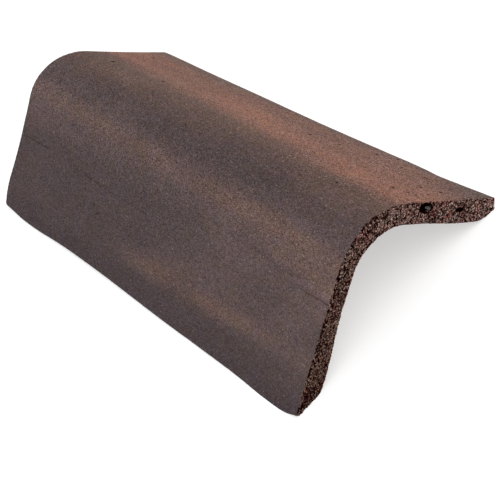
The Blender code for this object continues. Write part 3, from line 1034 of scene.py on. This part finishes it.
def make_pigment_streak():
    """One run of pigment between two edges along the tile: it bows, wanders, and fades in and out."""
    sheet, given, result = new_group(
        "Pigment Streak",
        {
            "Across": 0.0, "Along": 0.0, "Low Edge": 0.0, "Low Drift": 0.0, "Low Fade": 10 * MM,
            "High Edge": 20 * MM, "High Drift": 0.0, "High Fade": 10 * MM, "Bow": 0.0,
            "Start": 0.0, "Finish": 400 * MM, "Rise": 40 * MM, "Fall": 90 * MM,
        },
        ("Mask",),
    )
    across, along = given["Across"], given["Along"]
    share = sheet.times(along, 1 / LENGTH)
    hump = sheet.times(sheet.times(share, 4.0), sheet.math("SUBTRACT", 1.0, share))
    seed = sheet.times(given["Low Edge"], 90.0)
    track = sheet.add("CombineXYZ", {0: seed, 1: along, 2: given["High Edge"]}).outputs[0]
    wander = sheet.between(sheet.noise(track, 9.0, 1.0), 0.25, 0.75, -WANDER, WANDER, smooth=False)
    aside = sheet.math("SUBTRACT", across, sheet.math("MULTIPLY_ADD", given["Bow"], hump, wander))
    masks = []
    for side, inside, outside in (("Low", 1.0, 0.0), ("High", 0.0, 1.0)):
        edge = sheet.math("MULTIPLY_ADD", given[side + " Drift"], share, given[side + " Edge"])
        half = sheet.times(given[side + " Fade"], 0.5)
        beyond = sheet.math("SUBTRACT", aside, edge)
        masks.append(sheet.between(beyond, sheet.times(half, -1.0), half, outside, inside))
    rise = sheet.between(along, given["Start"], sheet.math("ADD", given["Start"], given["Rise"]))
    full = sheet.math("SUBTRACT", given["Finish"], given["Fall"])
    fall = sheet.between(along, full, given["Finish"], 1.0, 0.0)
    patch = sheet.add("CombineXYZ", {0: across, 1: sheet.times(along, 0.25), 2: seed}).outputs[0]
    uneven = sheet.between(sheet.noise(patch, 70.0), 0.3, 0.6, 0.6, 1.0, smooth=False)
    sheet.feed(result["Mask"], sheet.times(sheet.times(*masks), sheet.times(rise, fall), uneven))


def opaque(colour):
    """A colour setting as red, green, blue and a full alpha."""
    return (*colour, 1.0)


def start_material(name):
    """A new node material: its sheet, its surface shader and the place on the tile."""
    material = bpy.data.materials.new(name)
    material.use_nodes = True
    material.node_tree.nodes.clear()
    sheet = NodeSheet(material.node_tree)
    output = sheet.add("OutputMaterial")
    surface = sheet.add("BsdfPrincipled")
    sheet.feed(output.inputs["Surface"], surface.outputs[0])
    return material, sheet, surface.inputs, sheet.add("TexCoord").outputs["Object"]


def lay_pigment(sheet, finish, across, along):
    """The colour of the pigment, with painted shade on the top leg's rim, and how much there is of any streak
    over the slate.
    """
    colour, warm = opaque(finish.slate), 0.0
    for streak in STREAKS:
        run = sheet.group(
            "Pigment Streak", Across=across, Along=along, Bow=streak.bow * MM,
            Low_Edge=streak.low_near * MM, Low_Drift=(streak.low_far - streak.low_near) * MM,
            Low_Fade=streak.low_fade * MM, High_Edge=streak.high_near * MM,
            High_Drift=(streak.high_far - streak.high_near) * MM, High_Fade=streak.high_fade * MM,
            Start=streak.start * MM, Finish=streak.finish * MM, Rise=streak.rise * MM, Fall=streak.fall * MM,
        )
        share = sheet.times(run[0], streak.strength)
        colour = sheet.blend(share, colour, opaque(getattr(finish, streak.colour)))
        warm = sheet.math("MAXIMUM", warm, share)
    return colour, warm


def far_ripple(sheet, flat_place, across, along):
    """The light and shade of a fine ripple across the far part of the bend, painted as a factor to multiply a
    colour by.
    """
    drawn = sheet.vector("MULTIPLY", flat_place, (0.3, 1.0, 1.0))
    on_bend = sheet.times(
        sheet.between(across, -40 * MM, -10 * MM), sheet.between(across, 40 * MM, 60 * MM, 1.0, 0.0),
    )
    rippled = sheet.times(sheet.between(along, 240 * MM, 330 * MM), on_bend)
    ripple = sheet.between(sheet.noise(drawn, 1 / (5 * MM), 1.0), 0.3, 0.7, -0.09, 0.09, smooth=False)
    return sheet.math("MULTIPLY_ADD", ripple, rippled, 1.0)


def skin_material(finish):
    """Slate, tan, olive and terracotta pigment over fine sandy concrete, bare on the underside."""
    material, sheet, surface, place = start_material("streaked_concrete_skin")
    flat_place = sheet.add("UVMap", uv_map=UNROLLED).outputs[0]
    across, along = sheet.add("SeparateXYZ", {0: flat_place}).outputs[:2]
    colour, warm = lay_pigment(sheet, finish, across, along)
    blotches = sheet.between(sheet.noise(place, 180.0, 4.0), 0.3, 0.7, -0.3, 0.3)
    ragged = sheet.math("ADD", sheet.noted(COAT), blotches)
    colour = sheet.blend(sheet.between(ragged, 0.35, 0.65), opaque(finish.bare), colour)

    # Mottle and sand, which shade each channel a little differently
    on_top = sheet.between(across, *ON_TOP)
    mottle, fine_mottle, blue_hue, red_hue = (
        sheet.group("Soft Mottle", Place=place, Patch=patch * MM, Stretch=stretch, Contrast=contrast)[0]
        for patch, stretch, contrast in ((16, 3.0, 0.07), (2, 2.2, 0.09), (9, 1.6, 0.09), (7, 1.6, 0.045))
    )
    on_side_and_bend = sheet.times(
        sheet.between(across, -75 * MM, -35 * MM, 0.75, 0.94),
        sheet.between(along, 0.0, LENGTH, 0.95, 1.35, smooth=False),
    )
    contrast_on_top = sheet.between(along, 0.0, LENGTH, 1.6, 1.2, smooth=False)
    contrast = sheet.add("Mix", {0: on_top, 2: on_side_and_bend, 3: contrast_on_top}).outputs[0]
    dragged = sheet.vector("MULTIPLY", place, (1.0, 0.5, 1.0))
    sand = sheet.group("Sand Grain", Place=dragged, Size=0.52 * MM, Contrast=contrast)
    # The far ripple in this shade is painted light and shade
    shade = sheet.times(mottle, fine_mottle, sand["Shade"], far_ripple(sheet, flat_place, across, along))
    red = sheet.times(sheet.math("POWER", shade, 0.95), red_hue)
    colour = sheet.tinted(colour, red, shade, sheet.times(sheet.math("POWER", shade, 1.05), blue_hue))

    # Pale flecks, more of them in the streaks and on the top leg
    flecks, pinholes, worm_holes = (
        sheet.group("Scattered Spots", Place=place, Spacing=spacing * MM, Spot=spot, Share=share)[0]
        for spacing, spot, share in ((1.7, 0.31, 0.15), (2.2, 0.22, 0.2), (8, 0.1, 0.35))
    )
    in_streaks = sheet.between(warm, 0.1, 0.4, smooth=False)
    clusters = sheet.times(in_streaks, sheet.between(sheet.noise(place, 60.0), 0.4, 0.62))
    strength = sheet.times(
        sheet.math("MULTIPLY_ADD", clusters, 0.35, 0.34),
        sheet.between(along, 0.0, LENGTH, 1.1, 0.6, smooth=False),
        sheet.math("MULTIPLY_ADD", on_top, 0.7, 1.0),
        sheet.between(across, -125 * MM, -95 * MM, 0.5, 1.0),
    )
    colour = sheet.blend(sheet.times(flecks, strength), colour, opaque(finish.pale_sand))

    # Dark in the scratches, pits, pinholes and worm holes; in the scratches and pits it is dirt and painted
    # shade, darker where they are deeper
    dirt_and_shade = sheet.times(sheet.noted(DIRT_AND_SHADE), sheet.between(sheet.noise(place, 300.0), 0.3, 0.5, 0.7, 1.0))
    dark = sheet.math("MAXIMUM", dirt_and_shade, sheet.times(pinholes, 0.5))
    dark = sheet.math("MAXIMUM", dark, sheet.times(worm_holes, on_top))
    sheet.feed(surface["Base Color"], sheet.blend(dark, colour, opaque(finish.dark_paste_and_shade)))
    surface["Specular IOR Level"].default_value = 0.12
    sheet.feed(surface["Roughness"], sheet.between(sand["Height"], 0.2, 0.9, 0.95, 0.78))
    height = sheet.math("SUBTRACT", sand["Height"], pinholes)
    bump = sheet.add("Bump", {"Strength": 0.55, "Distance": 0.35 * MM, "Height": height})
    sheet.feed(surface["Normal"], bump.outputs[0])
    return material


def cut_material(finish):
    """Coarse grains in dark paste, as torn open by the cutter, with painted shade in the recesses, and the
    grey stone in the largest void.
    """
    material, sheet, surface, place = start_material("coarse_cut_concrete")
    patches = sheet.group("Soft Mottle", Place=place, Patch=8 * MM, Stretch=1.0, Contrast=1.0)[0]
    colour = sheet.blend(sheet.between(patches, 0.9, 1.9), opaque(finish.grain), opaque(finish.red_grain))
    sand = sheet.group("Sand Grain", Place=place, Size=0.6 * MM, Contrast=0.42)
    stones = sheet.group("Torn Stones", Place=place, Size=1.0 * MM)
    across = sheet.add("SeparateXYZ", {0: place}).outputs[0]
    paler = sheet.between(across, -85 * MM, 15 * MM, 0.65, 1.2)
    redder = sheet.between(across, -65 * MM, 55 * MM, 0.84, 1.05)
    shade = sheet.times(sand["Shade"], stones["Shade"], paler)
    shade = sheet.math("POWER", shade, sheet.between(across, 0.0, 45 * MM, 0.92, 1.25))
    red = sheet.times(sheet.math("POWER", shade, 0.65), redder)
    colour = sheet.tinted(colour, red, shade, sheet.math("POWER", shade, 1.15))

    pebble = sheet.noted(PEBBLE)
    speckle = sheet.between(sheet.noise(place, 1 / (1.1 * MM)), 0.35, 0.65, 0.3, 1.6, smooth=False)
    colour = sheet.blend(pebble, colour, sheet.tinted(opaque(finish.pebble), speckle, speckle, speckle))
    # Painted shade: the deeper a point was sunk, the closer it comes to the dark colour; the gaps between
    # stones are dark paste
    gaps = sheet.times(stones["Gap"], sheet.math("SUBTRACT", 1.0, pebble))
    dark = sheet.math("MAXIMUM", sheet.between(sheet.noted(RECESS_SHADE), 0.4, 0.75), gaps)
    sheet.feed(surface["Base Color"], sheet.blend(dark, colour, opaque(finish.dark_paste_and_shade)))
    surface["Specular IOR Level"].default_value = 0.02
    sheet.feed(surface["Roughness"], sheet.between(sand["Height"], 0.2, 0.9, 0.97, 0.85))
    bump = sheet.add("Bump", {"Strength": 0.7, "Distance": 0.5 * MM, "Height": sand["Height"]})
    sheet.feed(surface["Normal"], bump.outputs[0])
    return material


def floor_material(studio):
    """A plain pale floor with the faintest cloudiness."""
    material, sheet, surface, place = start_material("plain_floor")
    clouds = sheet.between(sheet.noise(place, 1.5), 0.3, 0.7, 0.985, 1.0)
    sheet.feed(surface["Base Color"], sheet.tinted(opaque(studio.floor_colour), clouds, clouds, clouds))
    surface["Roughness"].default_value = 0.9
    surface["Emission Strength"].default_value = studio.floor_glow
    surface["Emission Color"].default_value = (1.0, 1.0, 1.0, 1.0)
    return material


class VERGETILE_OT_concrete(bpy.types.Operator):
    """Model the concrete tile over the plain CAD solid"""

    bl_idname = "vergetile.concrete"
    bl_label = "Concrete Tile"
    bl_options = {"REGISTER", "UNDO"}

    def execute(self, context):
        shape, finish = context.scene.verge_tile_shape, context.scene.verge_tile_finish
        for make_group in (
            make_sand_grain, make_scattered_spots, make_torn_stones, make_soft_mottle, make_pigment_streak,
        ):
            make_group()
        piece = shape_body(shape)
        for step in (soften_body, refine_ends, tear_voids, roughen, press_marks, lay_out_skin):
            step(piece, shape)
        paint_faces(piece, (skin_material(finish), cut_material(finish)))
        make_active(piece)
        bpy.ops.object.shade_smooth_by_angle(angle=SMOOTH_ANGLE)
        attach(piece, "root")
        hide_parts(TILE_NODE)
        return {"FINISHED"}


class VERGETILE_OT_studio(bpy.types.Operator):
    """Set up the pale floor, the soft light and the camera"""

    bl_idname = "vergetile.studio"
    bl_label = "Studio"
    bl_options = {"REGISTER", "UNDO"}

    def execute(self, context):
        studio = context.scene.verge_tile_studio
        deselect_all()
        bpy.ops.mesh.primitive_plane_add(size=studio.floor_size, location=(0.0, 0.0, 0.0))
        floor = context.active_object
        floor.name = "floor"
        floor.data.materials.append(floor_material(studio))

        room = bpy.data.worlds.new("studio room")
        room.use_nodes = True
        background = room.node_tree.nodes["Background"].inputs
        background["Color"].default_value = (1.0, 1.0, 1.0, 1.0)
        background["Strength"].default_value = studio.sky
        context.scene.world = room

        bpy.ops.object.light_add(type="SUN", location=(0.0, 0.0, 2.0), rotation=studio.key_turn)
        key = context.active_object
        key.name = "key light"
        key.data.energy = studio.key
        key.data.angle = studio.key_softness

        bpy.ops.object.camera_add(location=studio.camera_place, rotation=studio.camera_turn)
        camera = context.active_object
        camera.name = "camera"
        camera.data.sensor_width = 36.0
        camera.data.lens = studio.lens
        camera.data.clip_start = 0.01
        context.scene.camera = camera
        context.scene.view_settings.view_transform = "Standard"
        return {"FINISHED"}


class VERGETILE_PT_panel(bpy.types.Panel):
    """Lists the tile's pieces and settings."""

    bl_idname = "VERGETILE_PT_panel"
    bl_label = "Verge Tile"
    bl_space_type = "VIEW_3D"
    bl_region_type = "UI"
    bl_category = "Verge Tile"

    def draw(self, context):
        scene = context.scene
        for operator, settings in (
            (VERGETILE_OT_concrete, (scene.verge_tile_shape, scene.verge_tile_finish)),
            (VERGETILE_OT_studio, (scene.verge_tile_studio,)),
        ):
            box = self.layout.box()
            box.operator(operator.bl_idname)
            for group in settings:
                for name in group.__annotations__:
                    box.prop(group, name)


SETTINGS = {
    "verge_tile_shape": VergeTileShape,
    "verge_tile_finish": VergeTileFinish,
    "verge_tile_studio": VergeTileStudio,
}
CLASSES = (*SETTINGS.values(), VERGETILE_OT_concrete, VERGETILE_OT_studio, VERGETILE_PT_panel)


def register():
    """Registers the classes and hangs the settings on the scene."""
    for cls in CLASSES:
        bpy.utils.register_class(cls)
    for name, group in SETTINGS.items():
        setattr(bpy.types.Scene, name, PointerProperty(type=group))


def unregister():
    """Takes the settings off the scene and unregisters the classes."""
    for name in SETTINGS:
        delattr(bpy.types.Scene, name)
    for cls in reversed(CLASSES):
        bpy.utils.unregister_class(cls)


def main():
    """Registers the tools, and builds the tile and the studio."""
    register()
    bpy.ops.vergetile.concrete()
    bpy.ops.vergetile.studio()


if __name__ == "__main__":
    main()
